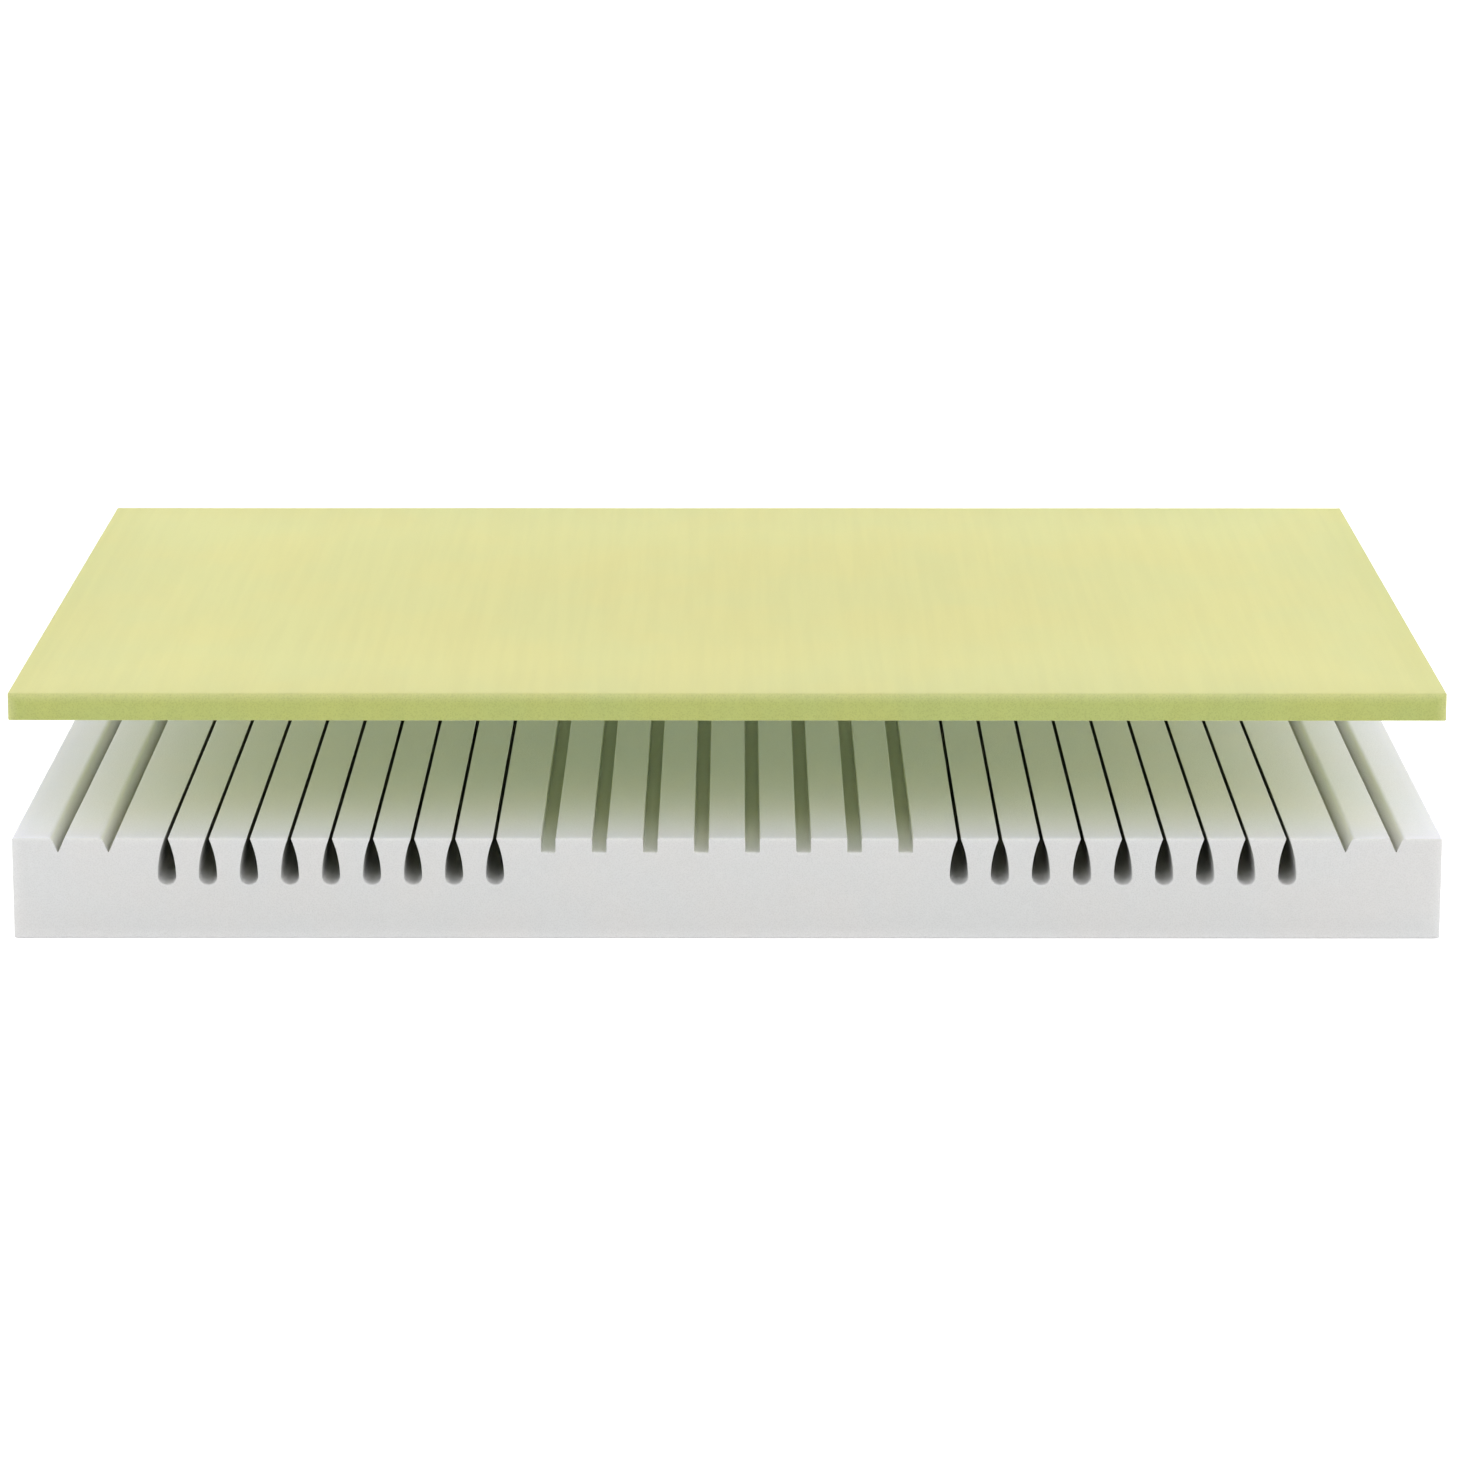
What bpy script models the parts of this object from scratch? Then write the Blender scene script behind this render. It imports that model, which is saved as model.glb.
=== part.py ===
"""Bare two-layer foam mattress: a viscoelastic topper raised above a contour-cut cold-foam core.

Frame: metres, +Z up, origin at the centre of the core's underside. X runs along the length that
a sleeper lies on, and Y across the width. The topper is drawn lifted clear of the core, and its
own origin lies on the vertical axis along which it is lowered onto it.
"""

import math

import bmesh
import bpy

# Outer sizes
LENGTH = 2.00
WIDTH = 1.40
CORE_HEIGHT = 0.145
TOPPER_THICKNESS = 0.040
LIFT_GAP = 0.168  # from the core's top face to the topper's underside
TOPPER_EDGE_RADIUS = 0.004
TOPPER_EDGE_SEGMENTS = 3

# Square channels across the middle zone
CHANNEL_COUNT = 8
CHANNEL_PITCH = 0.0714
CHANNEL_WIDTH = 0.020
CHANNEL_DEPTH = 0.0205

# Teardrop slots across the zones on each side of the middle: a slit that opens into a round bottom
TEARDROPS_PER_SIDE = 9
TEARDROP_PITCH = 0.0574
FIRST_TEARDROP = 0.3246  # centre of the slot nearest the middle
TEARDROP_DEPTH = 0.0675
TEARDROP_RADIUS = 0.0125  # of the round bottom
SLIT_WIDTH = 0.0045
SLIT_DEPTH = 0.002
FLANK_SEGMENTS = 6
BOTTOM_SEGMENTS = 14

# V grooves across each end zone
V_GROOVE_CENTRES = (0.8647, 0.9353)
V_GROOVE_WIDTH = 0.0185
V_GROOVE_DEPTH = 0.021

# Colours, linear RGB
TOPPER_COLOUR = (0.70, 0.71, 0.34)
CORE_COLOUR = (0.80, 0.80, 0.78)


def clear_scene():
    for old in list(bpy.data.objects):
        bpy.data.objects.remove(old, do_unlink=True)


def foam_material(name, colour, roughness):
    material = bpy.data.materials.new(name)
    material.use_nodes = True
    shader = material.node_tree.nodes["Principled BSDF"]
    shader.inputs["Base Color"].default_value = (*colour, 1.0)
    shader.inputs["Roughness"].default_value = roughness
    shader.inputs["Metallic"].default_value = 0.0
    return material


def channel_outline(centre):
    """A square channel, from its left lip to its right lip."""
    half = CHANNEL_WIDTH / 2
    floor = CORE_HEIGHT - CHANNEL_DEPTH
    return [
        (centre - half, CORE_HEIGHT),
        (centre - half, floor),
        (centre + half, floor),
        (centre + half, CORE_HEIGHT),
    ]


def v_groove_outline(centre):
    """A V groove, from its left lip to its right lip."""
    half = V_GROOVE_WIDTH / 2
    return [
        (centre - half, CORE_HEIGHT),
        (centre, CORE_HEIGHT - V_GROOVE_DEPTH),
        (centre + half, CORE_HEIGHT),
    ]


def teardrop_outline(centre):
    """A teardrop slot, from its left lip to its right lip.

    Each flank is an arc that leaves the slit and meets the round bottom at its widest place,
    where both are vertical, so the flank's centre is level with the centre of the bottom.
    """
    half_slit = SLIT_WIDTH / 2
    centre_z = CORE_HEIGHT - TEARDROP_DEPTH + TEARDROP_RADIUS
    rise = CORE_HEIGHT - SLIT_DEPTH - centre_z
    narrowing = TEARDROP_RADIUS - half_slit
    flank_radius = (rise**2 + narrowing**2) / (2 * narrowing)
    flank_angle = math.asin(rise / flank_radius)

    half_outline = [(half_slit, CORE_HEIGHT)]
    for step in range(FLANK_SEGMENTS):
        angle = flank_angle * (1 - step / FLANK_SEGMENTS)
        x = TEARDROP_RADIUS - flank_radius * (1 - math.cos(angle))
        half_outline.append((x, centre_z + flank_radius * math.sin(angle)))

    left_side = [(centre - x, z) for x, z in half_outline]
    right_side = [(centre + x, z) for x, z in reversed(half_outline)]
    bottom = []
    for step in range(BOTTOM_SEGMENTS + 1):
        angle = math.pi * (1 + step / BOTTOM_SEGMENTS)
        x = centre + TEARDROP_RADIUS * math.cos(angle)
        bottom.append((x, centre_z + TEARDROP_RADIUS * math.sin(angle)))
    return left_side + bottom + right_side


def core_outline():
    """The core's profile in X and Z: along the grooved top from left to right, then back below."""
    grooves = []
    for index in range(CHANNEL_COUNT):
        centre = (index - (CHANNEL_COUNT - 1) / 2) * CHANNEL_PITCH
        grooves.append((centre, channel_outline))
    for side in (-1, 1):
        for index in range(TEARDROPS_PER_SIDE):
            centre = side * (FIRST_TEARDROP + index * TEARDROP_PITCH)
            grooves.append((centre, teardrop_outline))
        for distance in V_GROOVE_CENTRES:
            grooves.append((side * distance, v_groove_outline))

    outline = [(-LENGTH / 2, CORE_HEIGHT)]
    for centre, groove_outline in sorted(grooves, key=lambda groove: groove[0]):
        outline += groove_outline(centre)
    outline += [(LENGTH / 2, CORE_HEIGHT), (LENGTH / 2, 0.0), (-LENGTH / 2, 0.0)]
    return outline


def add_object(name, mesh, material, height):
    """An object on the vertical axis through the origin, at the given height."""
    mesh.materials.append(material)
    made = bpy.data.objects.new(name, mesh)
    made.location = (0.0, 0.0, height)
    bpy.context.scene.collection.objects.link(made)
    return made


def build_core():
    """The cold-foam block: its profile swept across the width."""
    shape = bmesh.new()
    corners = [shape.verts.new((x, -WIDTH / 2, z)) for x, z in core_outline()]
    end_face = shape.faces.new(corners)
    swept = bmesh.ops.extrude_face_region(shape, geom=[end_face])
    moved = [item for item in swept["geom"] if isinstance(item, bmesh.types.BMVert)]
    bmesh.ops.translate(shape, verts=moved, vec=(0.0, WIDTH, 0.0))
    bmesh.ops.recalc_face_normals(shape, faces=shape.faces)
    mesh = bpy.data.meshes.new("zoned_foam_core")
    shape.to_mesh(mesh)
    shape.free()
    mesh.shade_smooth()
    mesh.set_sharp_from_angle(angle=math.radians(30))
    return add_object("zoned_foam_core", mesh, foam_material("cold_foam", CORE_COLOUR, 0.9), 0.0)


def build_topper():
    """The viscoelastic slab, with its cut edges slightly rounded. Its origin is under its middle."""
    shape = bmesh.new()
    bmesh.ops.create_cube(shape, size=1.0)
    bmesh.ops.translate(shape, verts=shape.verts, vec=(0.0, 0.0, 0.5))
    bmesh.ops.scale(shape, verts=shape.verts, vec=(LENGTH, WIDTH, TOPPER_THICKNESS))
    mesh = bpy.data.meshes.new("memory_foam_topper")
    shape.to_mesh(mesh)
    shape.free()
    mesh.shade_smooth()
    mesh.set_sharp_from_angle(angle=math.radians(40))
    material = foam_material("viscoelastic_foam", TOPPER_COLOUR, 0.85)
    topper = add_object("memory_foam_topper", mesh, material, CORE_HEIGHT + LIFT_GAP)
    bevel = topper.modifiers.new("rounded_edges", "BEVEL")
    bevel.width = TOPPER_EDGE_RADIUS
    bevel.segments = TOPPER_EDGE_SEGMENTS
    return topper


def main():
    clear_scene()
    build_core()
    build_topper()


main()
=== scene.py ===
import math

import bmesh
import bpy
import numpy as np
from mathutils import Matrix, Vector, noise
from mathutils.geometry import delaunay_2d_cdt


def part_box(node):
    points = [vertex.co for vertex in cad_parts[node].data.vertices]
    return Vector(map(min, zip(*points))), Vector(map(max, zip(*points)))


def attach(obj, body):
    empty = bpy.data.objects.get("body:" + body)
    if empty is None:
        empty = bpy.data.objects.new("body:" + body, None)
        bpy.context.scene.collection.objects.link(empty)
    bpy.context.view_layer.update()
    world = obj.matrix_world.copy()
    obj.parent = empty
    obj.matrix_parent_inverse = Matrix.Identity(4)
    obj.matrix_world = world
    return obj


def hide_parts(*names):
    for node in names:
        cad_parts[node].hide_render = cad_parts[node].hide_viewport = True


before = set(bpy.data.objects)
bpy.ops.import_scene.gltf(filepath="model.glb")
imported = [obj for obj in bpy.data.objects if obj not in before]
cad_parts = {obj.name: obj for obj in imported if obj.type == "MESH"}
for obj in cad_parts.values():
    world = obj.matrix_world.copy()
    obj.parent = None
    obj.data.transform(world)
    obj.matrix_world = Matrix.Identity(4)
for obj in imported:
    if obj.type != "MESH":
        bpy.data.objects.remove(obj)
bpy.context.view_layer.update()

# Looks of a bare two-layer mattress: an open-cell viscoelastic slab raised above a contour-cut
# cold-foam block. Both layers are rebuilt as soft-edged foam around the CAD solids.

CORE_LOW, CORE_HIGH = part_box("zoned_foam_core")
TOPPER_LOW, TOPPER_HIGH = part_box("memory_foam_topper")

# Square channels across the middle zone, metres
CHANNEL_COUNT = 8
CHANNEL_PITCH = 0.0714
CHANNEL_WIDTH = 0.020
CHANNEL_DEPTH = 0.0205

# Teardrop slots on each side of the middle zone
TEARDROPS_PER_SIDE = 9
TEARDROP_PITCH = 0.0574
FIRST_TEARDROP = 0.3246
TEARDROP_DEPTH = 0.0675
TEARDROP_RADIUS = 0.0125
SLIT_WIDTH = 0.0045
SLIT_DEPTH = 0.002
FLANK_STEPS = 8
BOTTOM_STEPS = 16

# V grooves across each end zone
V_GROOVE_CENTRES = (0.8647, 0.9353)
V_GROOVE_WIDTH = 0.0185
V_GROOVE_DEPTH = 0.021

# Softness of cut foam: the radii of the edges that run from front to back
BLOCK_CORNER = 0.0028
SLAB_CORNER = 0.0022
CHANNEL_LIP = 0.0022
CHANNEL_CORNER = 0.0015
V_OUTER_LIP = 0.008
V_INNER_LIP = 0.002
V_TIP = 0.0008
SLIT_LIP = 0.0010

# and of the edges round the front and back faces
TOP_END = 0.0042
SIDE_END = 0.0024
BOTTOM_END = 0.0024
SLAB_TOP_END = 0.0042
SLAB_BOTTOM_END = 0.0016
GROOVE_END = 0.0006  # along the walls of a groove
CHANNEL_FLOOR_END = 0.0048
TEARDROP_BOTTOM_END = 0.0034

# Mesh spacing
ARC_STEP = math.radians(18)
END_STEPS = 5
LONGEST_RUN = 0.030
RUN_ENDS = (0.0015, 0.005)  # extra points near both ends of a flat, so that it is shaded flat
GUARD = 0.0002  # a narrow ring that keeps the shading of an end face flat
STATION_SPACING = 0.037
END_NET = 0.012  # the spacing of the net that fills an end face
ON_TOP = 1e-6  # a depth below this is on the upper face
FLOOR_SHARES = (0.1, 0.2, 0.35, 0.5, 0.65, 0.8, 0.9)

# Unevenness of a sawn foam surface, always inwards
WAVE_DEPTH = 0.0005
WAVE_SCALE = 5.0
DIMPLE_DEPTH = 0.00015
DIMPLE_SCALE = 40.0

# Linear colours
SKIN_YELLOW = (0.895, 0.797, 0.363)
SKIN_GREEN = (0.871, 0.800, 0.378)
CUT_YELLOW = (0.643, 0.654, 0.237)
CUT_GREEN = (0.614, 0.654, 0.254)
CORE_WARM = (0.825, 0.818, 0.812)
CORE_COOL = (0.812, 0.818, 0.82)

# The topper's open cells let some light through: how much, and its colour
SHOW_THROUGH = 0.36
THROUGH_SKIN = (0.84, 1.0, 0.88)
THROUGH_CUT = (0.50, 0.60, 0.20)

# Painted light: foam painted paler beside its edges, for light that gets in there: how far in, and by
# what share at the edge itself
TOPPER_TOP_EDGE_LIGHT = (0.018, 0.86)  # down the cut sides, from the upper skin
TOPPER_END_EDGE_LIGHT = (0.018, 0.75)  # along the cut sides, from their ends
CORE_EDGE_LIGHT = (0.022, 0.10)
CORE_TOP_MARGIN = 0.008  # the upper edges count as this much further off, so they are paler by less
# Painted light: the upper face is paler towards its two ends, for brighter light falling there
CORE_END_LIGHT = (0.14, 0.10)  # on the upper face, towards its two ends
# Painted light: the upper face is bluer near its edges, for white light entering the gap there against
# green bounce light deeper in
WHITE_LIGHT_REACH = 0.42  # the upper face is cooler this near to its edges
WHITE_LIGHT_TINT = (1.0, 1.0, 1.13)

# How level a face of the slab is, 0 to 1, where it starts to be skin and where it is all skin
FLAT_LEVELS = (0.1, 0.95)

# Tones: shares of a foam's colour that are added to it: the foam's own grain, and painted shade at the
# skin's rim and on the core's upright faces
# Painted shade at the rim of a skin, which evens out the glow of light entering the sides
SKIN_RIM_REACH = 0.25
SKIN_RIM_SHADES = (-0.05, 0.005)  # at the rim of a skin, and further in than its reach
STREAK_TONE = 0.02
SLAB_SPECKLE = (0.30, 0.05)  # on the cut sides and on the skins
CORE_SPECKLE = 0.12
# Painted shade: the core's upright faces are darker, for the lesser light falling on them
CORE_SIDE_SHADE = -0.055  # on the upright faces

# Open cells
SLAB_CELL = 0.0028
CORE_CELL = 0.0024
MEAN_SPECKLE = 0.42
PIT_DEPTH = 0.0006

# Painted shade inside the grooves, darker with depth, where less light gets in: depth and share
CHANNEL_SHADES = ((0.0, 1.0), (CHANNEL_DEPTH, 0.69))
SLOT_SHADES = ((0.0, 1.0), (0.004, 0.33), (0.045, 0.38), (TEARDROP_DEPTH, 0.65))
V_SHADES = ((0.0, 1.0), (0.006, 0.95), (V_GROOVE_DEPTH, 0.70))
# Painted bounce light: a green tint in the channels, for light coming down off the slab above
CHANNEL_BOUNCE_TINT = (1.00, 1.03, 0.86)  # from the slab above
SLOT_MOUTH = (0.03, 0.13)  # behind the front and back faces, where the shades come in
CHANNEL_MOUTH = (0.0, 0.28)

# Studio light: what each side adds
BASE_LIGHT = 0.15
BACK_LIGHT = 0.39
LEFT_LIGHT = 0.27
RIGHT_LIGHT = 0.58
RAISED_LIGHT = 0.84
OVERHEAD_LIGHT = -0.92
FLOOR_GLOW = 0.60  # only where the floor is seen as the backdrop
FLOOR_REACH = 60.0
FLOOR_GAP = 0.0005

# Camera
LENS_MM = 136.4
CAMERA_DISTANCE = 7.499  # from the front face
CAMERA_HEIGHT = 2.0173
CAMERA_SIDE = 0.0157
CAMERA_PITCH_DEG = 12.898  # below the horizontal
CAMERA_YAW_DEG = 0.087


def rounded_loop(corners):
    """A closed run of corners (x, z, radius), with each corner turned into an arc."""
    points = []
    count = len(corners)
    for index, (x, z, radius) in enumerate(corners):
        corner = Vector((x, z))
        if radius == 0:
            points.append(corner)
            continue
        before = (Vector(corners[index - 1][:2]) - corner).normalized()
        after = (Vector(corners[(index + 1) % count][:2]) - corner).normalized()
        half_angle = before.angle(after) / 2
        centre = corner + (before + after).normalized() * (radius / math.sin(half_angle))
        start = before * (radius / math.tan(half_angle)) + corner - centre
        turn = start.angle_signed(after * (radius / math.tan(half_angle)) + corner - centre)
        steps = max(2, math.ceil(abs(turn) / ARC_STEP))
        for step in range(steps + 1):
            points.append(centre + rotated(start, -turn * step / steps))
    return points


def rotated(vector, angle):
    """A 2-D vector turned anticlockwise."""
    cosine, sine = math.cos(angle), math.sin(angle)
    return Vector((vector.x * cosine - vector.y * sine, vector.x * sine + vector.y * cosine))


def with_longest_run(points):
    """The closed run again, with points added along its straight stretches."""
    filled = []
    for index, point in enumerate(points):
        following = points[(index + 1) % len(points)]
        length = (following - point).length
        stops = [0.0]
        if length > 3 * max(RUN_ENDS):
            stops += [end / length for end in RUN_ENDS]
            stops += [1 - end / length for end in reversed(RUN_ENDS)]
        stops.append(1.0)
        for start, end in zip(stops, stops[1:]):
            steps = max(1, math.ceil((end - start) * length / LONGEST_RUN))
            for step in range(steps):
                filled.append(point.lerp(following, start + (end - start) * step / steps))
    return filled


def outward_normals(points):
    """The outward normal at each point of a closed clockwise run."""
    normals = []
    for index, point in enumerate(points):
        along = (point - points[index - 1]).normalized()
        along += (points[(index + 1) % len(points)] - point).normalized()
        normals.append(Vector((-along.y, along.x)).normalized())
    return normals


def swept_block(name, outline, end_radii, y_low, y_high):
    """A closed block: an outline in X and Z swept along Y, with both of its ends rounded off.

    end_radii holds, for each point of the outline, the radius at which the side turns into the
    end face there.
    """
    normals = outward_normals(outline)
    shape = bmesh.new()

    def add_ring(y_of, inset_of):
        ring = []
        for point, normal, radius in zip(outline, normals, end_radii):
            place = point - normal * inset_of(radius)
            ring.append(shape.verts.new((place.x, y_of(radius), place.y)))
        return ring

    def add_end(y_end, inwards):
        """The rings of one end, from the end face to the straight part."""
        found = [add_ring(lambda radius: y_end, lambda radius: radius + GUARD)]
        for step in range(END_STEPS + 1):
            angle = math.pi / 2 * (1 - step / END_STEPS)
            along, inset = inwards * (1 - math.sin(angle)), 1 - math.cos(angle)
            found.append(add_ring(lambda radius: y_end + along * radius, lambda radius: inset * radius))
        for distance in RUN_ENDS:
            beyond = inwards * (max(end_radii) + distance)
            found.append(add_ring(lambda radius: y_end + beyond, lambda radius: 0.0))
        return found

    loops = add_end(y_low, 1)
    stations = round((y_high - y_low) / STATION_SPACING)
    for station in range(1, stations):
        y = y_low + (y_high - y_low) * station / stations
        loops.append(add_ring(lambda radius: y, lambda radius: 0.0))
    loops += reversed(add_end(y_high, -1))

    for loop, following in zip(loops, loops[1:]):
        for index in range(len(loop)):
            shape.faces.new((loop[index - 1], loop[index], following[index], following[index - 1]))
    fill_end(shape, loops[0], y_low)
    fill_end(shape, loops[-1], y_high)
    bmesh.ops.recalc_face_normals(shape, faces=shape.faces)
    mesh = bpy.data.meshes.new(name)
    shape.to_mesh(mesh)
    shape.free()
    mesh.shade_smooth()
    made = bpy.data.objects.new(name, mesh)
    bpy.context.scene.collection.objects.link(made)
    return made


def points_within(border, spacing):
    """Points of a square grid inside a closed run, each at least a third of a step away from it."""
    start = np.array(border)
    along = np.roll(start, -1, axis=0) - start
    low, high = start.min(axis=0), start.max(axis=0)
    counts = np.maximum(2, np.round((high - low) / spacing)).astype(int)
    found = []
    for column in range(1, counts[0]):
        for row in range(1, counts[1]):
            place = low + (high - low) * (column, row) / counts
            share = ((place - start) * along).sum(axis=1) / (along**2).sum(axis=1)
            nearest = start + along * np.clip(share, 0, 1)[:, None]
            if np.hypot(*(place - nearest).T).min() < spacing / 3:
                continue
            crossed = (start[:, 1] > place[1]) != (np.roll(start, -1, axis=0)[:, 1] > place[1])
            rise = (place[1] - start[crossed, 1]) / along[crossed, 1]
            if np.count_nonzero(start[crossed, 0] + rise * along[crossed, 0] > place[0]) % 2:
                found.append(Vector(place))
    return found


def fill_end(shape, ring, y):
    """Closes an end of a swept block with an even net of small triangles."""
    border = [Vector((vertex.co.x, vertex.co.z)) for vertex in ring]
    inner = points_within(border, END_NET)
    filled = delaunay_2d_cdt(border + inner, [], [list(range(len(border)))], 1, 1e-7)
    places, faces, origins = filled[0], filled[2], filled[3]
    net = []
    for place, origin in zip(places, origins):
        on_ring = [index for index in origin if index < len(ring)]
        net.append(ring[on_ring[0]] if on_ring else shape.verts.new((place.x, y, place.y)))
    for face in faces:
        shape.faces.new([net[index] for index in face])


def weather(piece):
    """Sinks every point a little into the foam, as a band knife leaves it."""
    mesh = piece.data
    normals = [vertex.normal.copy() for vertex in mesh.vertices]
    for vertex, normal in zip(mesh.vertices, normals):
        wave = 0.5 + 0.5 * noise.noise(vertex.co * WAVE_SCALE)
        dimple = 0.5 + 0.5 * noise.noise(vertex.co * DIMPLE_SCALE)
        vertex.co -= normal * (WAVE_DEPTH * wave + DIMPLE_DEPTH * dimple)
    mesh.update()


def groove_centres():
    """Where the grooves are along X: those of the channels, the teardrops and the V grooves."""
    middle = (CHANNEL_COUNT - 1) / 2
    channels = [(index - middle) * CHANNEL_PITCH for index in range(CHANNEL_COUNT)]
    teardrops = []
    v_grooves = []
    for side in (-1, 1):
        for index in range(TEARDROPS_PER_SIDE):
            teardrops.append(side * (FIRST_TEARDROP + index * TEARDROP_PITCH))
        v_grooves += [side * distance for distance in V_GROOVE_CENTRES]
    return channels, teardrops, v_grooves


def channel_corners(centre, top):
    half = CHANNEL_WIDTH / 2
    floor = top - CHANNEL_DEPTH
    flat = [(centre + (2 * share - 1) * (half - CHANNEL_CORNER), floor, 0) for share in FLOOR_SHARES]
    return [
        (centre - half, top, CHANNEL_LIP),
        (centre - half, floor, CHANNEL_CORNER),
        *flat,
        (centre + half, floor, CHANNEL_CORNER),
        (centre + half, top, CHANNEL_LIP),
    ]


def v_groove_corners(centre, top):
    """A V whose outer lip, the one nearer the end of the block, is rounded over the most."""
    half = V_GROOVE_WIDTH / 2
    lips = (V_OUTER_LIP, V_INNER_LIP) if centre < 0 else (V_INNER_LIP, V_OUTER_LIP)
    return [
        (centre - half, top, lips[0]),
        (centre, top - V_GROOVE_DEPTH, V_TIP),
        (centre + half, top, lips[1]),
    ]


def teardrop_corners(centre, top):
    """A slit that opens along two arcs into a round bottom, which they meet at its widest place."""
    half_slit = SLIT_WIDTH / 2
    bottom_z = top - TEARDROP_DEPTH + TEARDROP_RADIUS
    rise = top - SLIT_DEPTH - bottom_z
    narrowing = TEARDROP_RADIUS - half_slit
    flank_radius = (rise**2 + narrowing**2) / (2 * narrowing)
    flank_angle = math.asin(rise / flank_radius)
    flank = []
    for step in range(FLANK_STEPS):
        angle = flank_angle * (1 - step / FLANK_STEPS)
        x = TEARDROP_RADIUS - flank_radius * (1 - math.cos(angle))
        flank.append((x, bottom_z + flank_radius * math.sin(angle)))
    corners = [(centre - half_slit, top, SLIT_LIP)]
    corners += [(centre - x, z, 0) for x, z in flank]
    for step in range(BOTTOM_STEPS + 1):
        angle = math.pi * (1 + step / BOTTOM_STEPS)
        x = centre + TEARDROP_RADIUS * math.cos(angle)
        corners.append((x, bottom_z + TEARDROP_RADIUS * math.sin(angle), 0))
    corners += [(centre + x, z, 0) for x, z in reversed(flank)]
    corners.append((centre + half_slit, top, SLIT_LIP))
    return corners


def growing(start, distance, most):
    """An end radius that is small at a place and grows by as much as the distance from it."""
    return min(most, start + max(0.0, distance))


def end_radius_in_groove(kind, across, depth):
    """The end radius on a groove's wall or bottom, by the place across it and the depth."""
    if kind is channel_corners and depth > CHANNEL_DEPTH - CHANNEL_CORNER:
        return growing(GROOVE_END, CHANNEL_WIDTH / 2 - across, CHANNEL_FLOOR_END)
    if kind is teardrop_corners:
        share = 1 + (depth - TEARDROP_DEPTH) / TEARDROP_RADIUS
        return GROOVE_END + (TEARDROP_BOTTOM_END - GROOVE_END) * max(0.0, share)
    return GROOVE_END


def block_end_radius(x, z, low, high, corner, ends):
    """The end radius at a point of a plain block's outline. ends holds the most it may be on the
    upper face, on the two sides and underneath."""
    to_side = min(x - low.x, high.x - x)
    to_level = min(z - low.z, high.z - z)
    if to_side < corner:
        return growing(corner - 2 * GUARD, to_level - corner, ends[1])
    return growing(corner - 2 * GUARD, to_side - corner, ends[2] if z - low.z < corner else ends[0])


def core_outline():
    """The core's soft-edged profile, clockwise from its top left corner, and its end radii."""
    low, high = CORE_LOW, CORE_HIGH
    channels, teardrops, v_grooves = groove_centres()
    # each groove: its middle, what makes its corners, and how far it and its lip reach on top
    grooves = [(centre, channel_corners, CHANNEL_WIDTH / 2 + CHANNEL_LIP) for centre in channels]
    grooves += [(centre, teardrop_corners, SLIT_WIDTH / 2 + SLIT_LIP) for centre in teardrops]
    grooves += [(centre, v_groove_corners, V_GROOVE_WIDTH / 2 + V_INNER_LIP) for centre in v_grooves]
    grooves.sort(key=lambda groove: groove[0])
    corners = [(low.x, high.z, BLOCK_CORNER)]
    for centre, corners_of, reach in grooves:
        corners += corners_of(centre, high.z)
    corners.append((high.x, high.z, BLOCK_CORNER))
    corners.append((high.x, low.z, BLOCK_CORNER))
    corners.append((low.x, low.z, BLOCK_CORNER))
    outline = with_longest_run(rounded_loop(corners))

    radii = []
    ends = (TOP_END, SIDE_END, BOTTOM_END)
    for x, z in outline:
        radius = block_end_radius(x, z, low, high, BLOCK_CORNER, ends)
        centre, kind, reach = min(grooves, key=lambda groove: abs(x - groove[0]))
        across, depth = abs(x - centre), high.z - z
        if depth < ON_TOP:
            radius = min(radius, growing(GROOVE_END, across - reach, TOP_END))
        elif across < V_GROOVE_WIDTH and depth < TEARDROP_DEPTH + ON_TOP:
            radius = end_radius_in_groove(kind, across, depth)
        radii.append(radius)
    return outline, radii


def topper_outline():
    """The topper's soft-edged profile, clockwise from its top left corner, and its end radii."""
    low, high = TOPPER_LOW, TOPPER_HIGH
    corners = [
        (low.x, high.z, SLAB_CORNER),
        (high.x, high.z, SLAB_CORNER),
        (high.x, low.z, SLAB_CORNER),
        (low.x, low.z, SLAB_CORNER),
    ]
    outline = with_longest_run(rounded_loop(corners))
    ends = (SLAB_TOP_END, SLAB_BOTTOM_END, SLAB_BOTTOM_END)
    return outline, [block_end_radius(x, z, low, high, SLAB_CORNER, ends) for x, z in outline]


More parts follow.
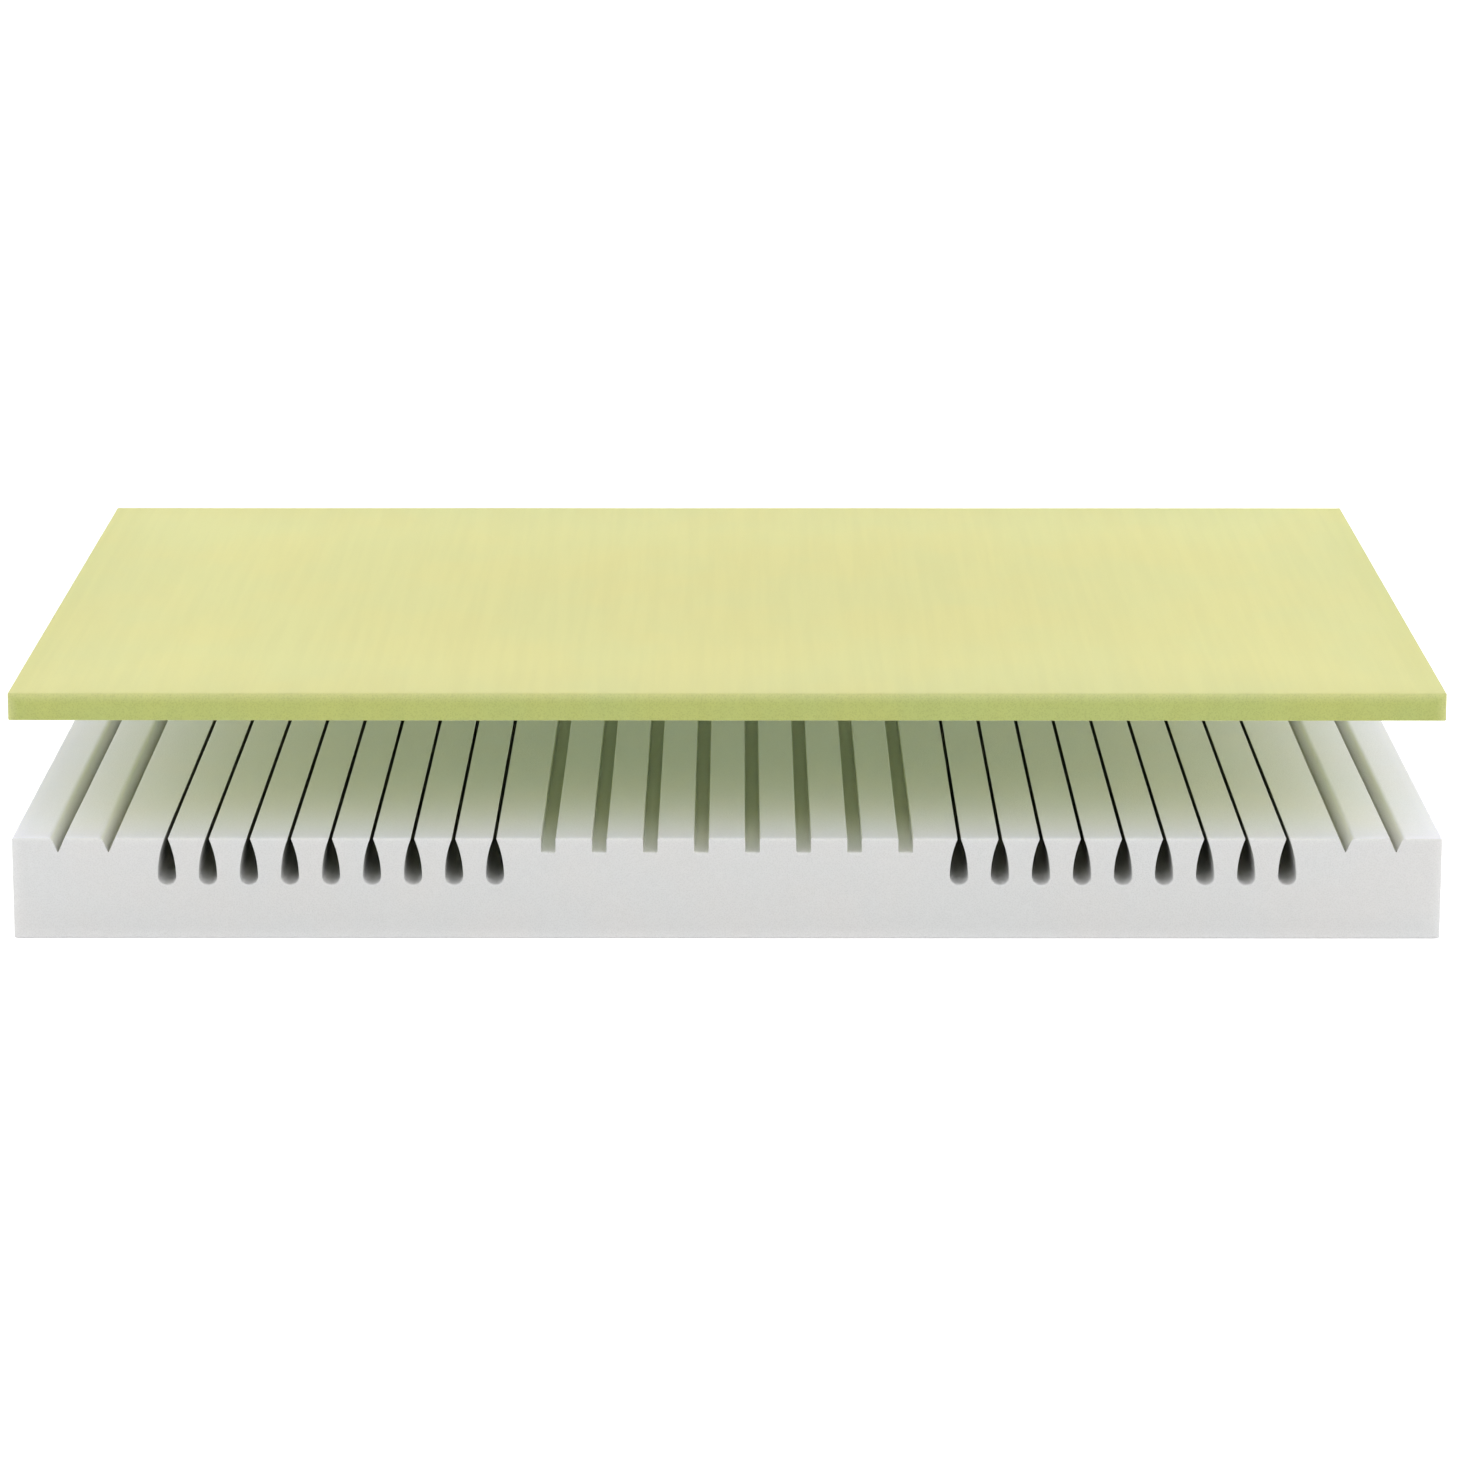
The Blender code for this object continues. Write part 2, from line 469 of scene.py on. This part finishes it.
class Graph:
    """A material's or the world's node tree, with one call for a node, its settings and its inputs."""

    def __init__(self, owner):
        owner.use_nodes = True
        self.tree = owner.node_tree
        self.tree.nodes.clear()

    def add(self, kind, inputs=None, **settings):
        """Adds a node. An input is another node's output, or a constant."""
        node = self.tree.nodes.new("ShaderNode" + kind)
        for key, value in settings.items():
            setattr(node, key, value)
        for key, value in (inputs or {}).items():
            if isinstance(value, bpy.types.NodeSocket):
                self.tree.links.new(value, node.inputs[key])
            else:
                node.inputs[key].default_value = value
        return node

    def math(self, operation, first, second=0.0):
        node = self.add("Math", {0: first, 1: second}, operation=operation)
        return node.outputs[0]

    def span(self, value, low, high, to_low=0.0, to_high=1.0):
        """value from low..high, clamped, to to_low..to_high with soft ends."""
        inputs = {"Value": value, "From Min": low, "From Max": high}
        inputs.update({"To Min": to_low, "To Max": to_high})
        node = self.add("MapRange", inputs, interpolation_type="SMOOTHSTEP")
        return node.outputs["Result"]

    def fringe(self, distance, reach, most):
        """most at an edge, fading to 0 at reach from it."""
        inputs = {"Value": distance, "From Min": 0.0, "From Max": reach, "To Min": 1.0, "To Max": 0.0}
        share = self.add("MapRange", inputs).outputs["Result"]
        return self.math("MULTIPLY", self.math("POWER", share, 2.0), most)

    def parts(self, vector):
        """The X, Y and Z of a vector."""
        return self.add("SeparateXYZ", {"Vector": vector}).outputs

    def depths(self, place, low, high):
        """How deep a place lies behind each pair of faces of a box, along x, y and z."""
        middle, half = (low + high) / 2, (high - low) / 2
        parts = self.parts(place)
        for axis in range(3):
            off = self.math("ABSOLUTE", self.math("SUBTRACT", parts[axis], middle[axis]))
            yield self.math("SUBTRACT", half[axis], off)

    def stretched(self, vector, scale):
        node = self.add("Mapping", {"Vector": vector, "Scale": scale})
        return node.outputs["Vector"]

    def noise(self, vector, scale, detail=2.0, roughness=0.5):
        inputs = {"Vector": vector, "Scale": scale, "Detail": detail, "Roughness": roughness}
        return self.add("TexNoise", inputs).outputs["Fac"]

    def mix(self, factor, first, second):
        node = self.add("Mix", {"Factor": factor}, data_type="RGBA")
        for socket, value in ((node.inputs["A"], first), (node.inputs["B"], second)):
            self.set_colour(socket, value)
        return node.outputs["Result"]

    def set_colour(self, socket, value):
        if isinstance(value, bpy.types.NodeSocket):
            self.tree.links.new(value, socket)
        else:
            socket.default_value = (*value, 1.0)

    def multiplied(self, first, second):
        node = self.add("Mix", {"Factor": 1.0}, data_type="RGBA", blend_type="MULTIPLY")
        self.set_colour(node.inputs["A"], first)
        self.set_colour(node.inputs["B"], second)
        return node.outputs["Result"]

    def scaled(self, colour, factor):
        """A colour with its brightness multiplied by a value."""
        grey = self.add("CombineColor", {"Red": factor, "Green": factor, "Blue": factor})
        return self.multiplied(colour, grey.outputs["Color"])


def foam_shader(graph, colour, height, roughness, sheen):
    """The surface both foams share: matt, faintly downy, and pitted by height."""
    bump = graph.add("Bump", {"Height": height, "Strength": 0.5, "Distance": PIT_DEPTH})
    inputs = {"Base Color": colour, "Roughness": roughness, "Normal": bump.outputs["Normal"]}
    shader = graph.add("BsdfPrincipled", inputs)
    shader.inputs["Specular IOR Level"].default_value = 0.25
    shader.inputs["Sheen Weight"].default_value = sheen
    return shader.outputs["BSDF"]


def open_cells(graph, place, cell):
    """Two values for a surface of open cells: 0 in a pore to 1 on its rim, and a finer grain."""
    inputs = {"Vector": place, "Scale": 1 / cell, "Randomness": 1.0}
    pores = graph.add("TexVoronoi", inputs, feature="F1").outputs["Distance"]
    rims = graph.span(pores, 0.1, 0.6)
    grain = graph.noise(place, 1.7 / cell, detail=3.0, roughness=0.6)
    return rims, grain


def skin_and_edge_light_share(graph, place, flat, to_side, to_end):
    """How much a place has of the skin's paler colour: all of it on the two skins, and some a
    little way down the cut sides and in from their ends, as painted light for the light that gets in at
    the edges."""
    below_top = graph.math("SUBTRACT", TOPPER_HIGH.z, graph.parts(place)["Z"])
    from_end = graph.math("MAXIMUM", to_side, to_end)
    # the paler band down the cut sides and in from their ends is painted edge light
    share = graph.math("MAXIMUM", flat, graph.fringe(below_top, *TOPPER_TOP_EDGE_LIGHT))
    return graph.math("MAXIMUM", share, graph.fringe(from_end, *TOPPER_END_EDGE_LIGHT))


def slab_speckle_and_painted_shade(graph, place, level, flat, to_rim, speckle):
    """The tone from the slab's speckle, from faint streaks from front to back, and from painted shade
    at the rim.

    The rim of a skin glows from the light that enters the sides, and painted shade, a deeper
    tone there, evens that out.
    """
    contrast = graph.span(level, *FLAT_LEVELS, *SLAB_SPECKLE)
    tone = graph.math("MULTIPLY", graph.math("SUBTRACT", speckle, MEAN_SPECKLE), contrast)
    streaks = graph.noise(graph.stretched(place, (1.0, 0.03, 0.3)), 70.0, detail=4.0)
    tone = graph.math("ADD", tone, graph.span(streaks, 0.3, 0.7, -STREAK_TONE, STREAK_TONE))
    # painted shade at the rim of a skin
    rim_shade = graph.span(to_rim, 0.0, SKIN_RIM_REACH, *SKIN_RIM_SHADES)
    return graph.math("ADD", tone, graph.math("MULTIPLY", rim_shade, flat))


def viscoelastic_foam():
    """Pale yellow-green foam that lets light through: paler on its skins than on its cut sides."""
    material = bpy.data.materials.new("viscoelastic_foam")
    graph = Graph(material)
    where = graph.add("TexCoord").outputs
    place = where["Object"]
    level = graph.math("ABSOLUTE", graph.parts(where["Normal"])["Z"])
    flat = graph.span(level, *FLAT_LEVELS)
    to_end, to_side, _ = graph.depths(place, TOPPER_LOW, TOPPER_HIGH)
    rims, grain = open_cells(graph, place, SLAB_CELL)
    speckle = graph.math("MULTIPLY", rims, grain)

    patches = graph.noise(graph.stretched(place, (1.0, 0.6, 1.0)), 7.0, detail=3.0)
    greener = graph.span(patches, 0.35, 0.65)
    skin = graph.mix(greener, SKIN_YELLOW, SKIN_GREEN)
    # the skin's own paler colour, plus painted edge light down and along the cut sides
    share = skin_and_edge_light_share(graph, place, flat, to_side, to_end)
    colour = graph.mix(share, graph.mix(greener, CUT_YELLOW, CUT_GREEN), skin)
    to_rim = graph.math("MINIMUM", to_side, to_end)
    tone = slab_speckle_and_painted_shade(graph, place, level, flat, to_rim, speckle)
    colour = graph.scaled(colour, graph.math("ADD", tone, 1.0))
    roughness = graph.span(grain, 0.2, 0.8, 0.8, 1.0)
    surface = foam_shader(graph, colour, speckle, roughness, sheen=0.08)
    through = graph.mix(share, THROUGH_CUT, THROUGH_SKIN)
    let_through = graph.add("BsdfTranslucent", {"Color": through}).outputs[0]
    foam = graph.add("MixShader", {0: SHOW_THROUGH, 1: surface, 2: let_through})
    graph.add("OutputMaterial", {"Surface": foam.outputs[0]})
    return material


def ramp_of_greys(graph, depth, shades):
    """The shade at a depth, from a list of depths in metres and shades."""
    deepest = shades[-1][0]
    node = graph.add("ValToRGB", {"Fac": graph.math("DIVIDE", depth, deepest)})
    stops = node.color_ramp.elements
    while len(stops) < len(shades):
        stops.new(0.5)
    for stop, (at, grey) in zip(stops, shades):
        stop.position = at / deepest
        stop.color = (grey, grey, grey, 1.0)
    return node.outputs["Color"]


def shaded_in_grooves(graph, colour, where, depth_x, depth_y):
    """The core's colour with painted shade, darker with depth, on the walls and floors of its grooves.
    """
    height = graph.parts(where["Object"])["Z"]
    along = graph.parts(where["Normal"])["Y"]
    depth = graph.math("SUBTRACT", CORE_HIGH.z, height)
    # the zones, from the middle: channels, slots, V grooves
    first_slot = CORE_HIGH.x - FIRST_TEARDROP + TEARDROP_PITCH / 2
    first_v = CORE_HIGH.x - V_GROOVE_CENTRES[0] + V_GROOVE_WIDTH
    in_slots = graph.math("LESS_THAN", depth_x, first_slot)
    in_vs = graph.math("LESS_THAN", depth_x, first_v)
    channel = ramp_of_greys(graph, depth, CHANNEL_SHADES)
    # painted green bounce light in the channels
    channel = graph.multiplied(channel, CHANNEL_BOUNCE_TINT)
    shade = graph.mix(in_slots, channel, ramp_of_greys(graph, depth, SLOT_SHADES))
    shade = graph.mix(in_vs, shade, ramp_of_greys(graph, depth, V_SHADES))
    # none on the block's own faces, and less near the mouths of channels and slots
    at_slots = graph.math("MULTIPLY", graph.span(depth_y, *SLOT_MOUTH), in_slots)
    amount = graph.math("MAXIMUM", graph.span(depth_y, *CHANNEL_MOUTH), at_slots)
    amount = graph.math("MAXIMUM", amount, in_vs)
    for limit in (
        graph.math("GREATER_THAN", depth_x, 0.004),
        graph.math("LESS_THAN", graph.math("ABSOLUTE", along), 0.5),
        graph.math("GREATER_THAN", height, CORE_LOW.z + 0.01),
        graph.math("GREATER_THAN", depth, 0.0008),
    ):
        amount = graph.math("MULTIPLY", amount, limit)
    return graph.multiplied(colour, graph.mix(amount, (1.0, 1.0, 1.0), shade))


def edge_distance(graph, x, y, height):
    """How far a place on one of the core's faces is from the nearest edge.

    On a face, that is the middle one of the depths behind the three pairs of faces.
    """
    below_top = graph.math("SUBTRACT", CORE_HIGH.z + CORE_TOP_MARGIN, height)
    z = graph.math("MINIMUM", below_top, graph.math("SUBTRACT", height, CORE_LOW.z))
    lower, upper = graph.math("MINIMUM", x, y), graph.math("MAXIMUM", x, y)
    return graph.math("MAXIMUM", lower, graph.math("MINIMUM", upper, z))


def core_speckle_and_painted_light(graph, level, x, on_top, to_edge, speckle):
    """The tone from the core's speckle, with painted light along its edges and towards the ends of its
    upper face, and painted shade on its upright faces.
    """
    tone = graph.math("MULTIPLY", graph.math("SUBTRACT", speckle, MEAN_SPECKLE), CORE_SPECKLE)
    # painted light along the edges, painted shade on the upright faces, painted light towards the ends
    # of the upper face
    tone = graph.math("ADD", tone, graph.fringe(to_edge, *CORE_EDGE_LIGHT))
    tone = graph.math("ADD", tone, graph.span(level, 0.1, 0.9, CORE_SIDE_SHADE, 0.0))
    end_light = graph.math("MULTIPLY", on_top, graph.fringe(x, *CORE_END_LIGHT))
    return graph.math("ADD", tone, end_light)


def cold_foam():
    """Near-white foam with a faint fine speckle; painted light makes it palest along its edges, and
    painted shade darkens its grooves.
    """
    material = bpy.data.materials.new("cold_foam")
    graph = Graph(material)
    where = graph.add("TexCoord").outputs
    place = where["Object"]
    height = graph.parts(place)["Z"]
    x, y, _ = graph.depths(place, CORE_LOW, CORE_HIGH)
    level = graph.math("ABSOLUTE", graph.parts(where["Normal"])["Z"])
    near_top = graph.span(height, CORE_HIGH.z - 0.003, CORE_HIGH.z - 0.001)
    on_top = graph.math("MULTIPLY", near_top, graph.span(level, 0.7, 0.98))
    rims, grain = open_cells(graph, place, CORE_CELL)
    speckle = graph.math("MULTIPLY", rims, grain)

    patches = graph.noise(place, 9.0, detail=3.0)
    colour = graph.mix(graph.span(patches, 0.3, 0.7), CORE_WARM, CORE_COOL)
    to_edge = edge_distance(graph, x, y, height)
    tone = core_speckle_and_painted_light(graph, level, x, on_top, to_edge, speckle)
    colour = graph.scaled(colour, graph.math("ADD", tone, 1.0))
    # painted whiter light on the upper face near its rims
    from_rim = graph.math("MINIMUM", x, y)
    whiter_light = graph.math("MULTIPLY", on_top, graph.fringe(from_rim, WHITE_LIGHT_REACH, 1.0))
    colour = graph.multiplied(colour, graph.mix(whiter_light, (1.0, 1.0, 1.0), WHITE_LIGHT_TINT))
    colour = shaded_in_grooves(graph, colour, where, x, y)
    roughness = graph.span(grain, 0.2, 0.8, 0.82, 1.0)
    surface = foam_shader(graph, colour, speckle, roughness, sheen=0.05)
    graph.add("OutputMaterial", {"Surface": surface})
    return material


def add_topper():
    outline, end_radii = topper_outline()
    slab = swept_block("viscoelastic_slab", outline, end_radii, TOPPER_LOW.y, TOPPER_HIGH.y)
    weather(slab)
    slab.data.materials.append(viscoelastic_foam())
    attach(slab, "topper")
    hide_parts("memory_foam_topper")


def add_core():
    outline, end_radii = core_outline()
    block = swept_block("contour_cut_block", outline, end_radii, CORE_LOW.y, CORE_HIGH.y)
    weather(block)
    block.data.materials.append(cold_foam())
    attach(block, "core")
    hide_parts("zoned_foam_core")


def add_floor():
    """A plain floor. To the camera it is so bright that no shadow shows on it."""
    shape = bmesh.new()
    bmesh.ops.create_grid(shape, x_segments=1, y_segments=1, size=FLOOR_REACH)
    mesh = bpy.data.meshes.new("studio_floor")
    shape.to_mesh(mesh)
    shape.free()
    floor = bpy.data.objects.new("studio_floor", mesh)
    floor.location.z = CORE_LOW.z - FLOOR_GAP
    bpy.context.scene.collection.objects.link(floor)
    material = bpy.data.materials.new("white_floor")
    graph = Graph(material)
    shader = graph.add("BsdfPrincipled", {"Base Color": (0.9, 0.9, 0.9, 1.0), "Roughness": 1.0})
    shader.inputs["Emission Color"].default_value = (1.0, 1.0, 1.0, 1.0)
    seen = graph.add("LightPath").outputs["Is Camera Ray"]
    glow = graph.math("MULTIPLY", seen, FLOOR_GLOW)
    graph.tree.links.new(glow, shader.inputs["Emission Strength"])
    graph.add("OutputMaterial", {"Surface": shader.outputs["BSDF"]})
    mesh.materials.append(material)


def light_studio():
    """Soft light from all round, stronger from behind and the sides. The backdrop is white."""
    world = bpy.data.worlds.new("studio")
    bpy.context.scene.world = world
    graph = Graph(world)
    direction = graph.add("TexCoord").outputs["Generated"]
    parts = graph.parts(direction)
    strength = graph.span(parts["Y"], -0.8, 0.6, BASE_LIGHT, BASE_LIGHT + BACK_LIGHT)
    for share in (
        graph.span(parts["X"], -0.2, 0.6, 0.0, RIGHT_LIGHT),
        graph.span(parts["X"], -0.1, -0.5, 0.0, LEFT_LIGHT),
        graph.span(parts["Z"], 0.0, 0.5, 0.0, RAISED_LIGHT),
        graph.span(parts["Z"], 0.6, 1.0, 0.0, OVERHEAD_LIGHT),
    ):
        strength = graph.math("ADD", strength, share)
    light = graph.add("Background", {"Color": (1.0, 1.0, 1.0, 1.0), "Strength": strength})
    backdrop = graph.add("Background", {"Color": (1.0, 1.0, 1.0, 1.0), "Strength": 1.0})
    seen = graph.add("LightPath").outputs["Is Camera Ray"]
    shown = graph.add("MixShader", {0: seen, 1: light.outputs[0], 2: backdrop.outputs[0]})
    graph.add("OutputWorld", {"Surface": shown.outputs[0]})


def add_camera():
    """A long lens in front of the long side, looking down a little."""
    camera = bpy.data.objects.new("camera", bpy.data.cameras.new("camera"))
    bpy.context.scene.collection.objects.link(camera)
    camera.data.lens = LENS_MM
    camera.data.sensor_width = 36.0
    camera.data.clip_end = 200.0
    camera.location = (CAMERA_SIDE, CORE_LOW.y - CAMERA_DISTANCE, CAMERA_HEIGHT)
    tilt = math.radians(90 - CAMERA_PITCH_DEG)
    camera.rotation_euler = (tilt, 0.0, math.radians(CAMERA_YAW_DEG))
    bpy.context.scene.camera = camera


add_camera()
add_topper()
add_core()
add_floor()
light_studio()
bpy.context.scene.view_settings.view_transform = "Standard"
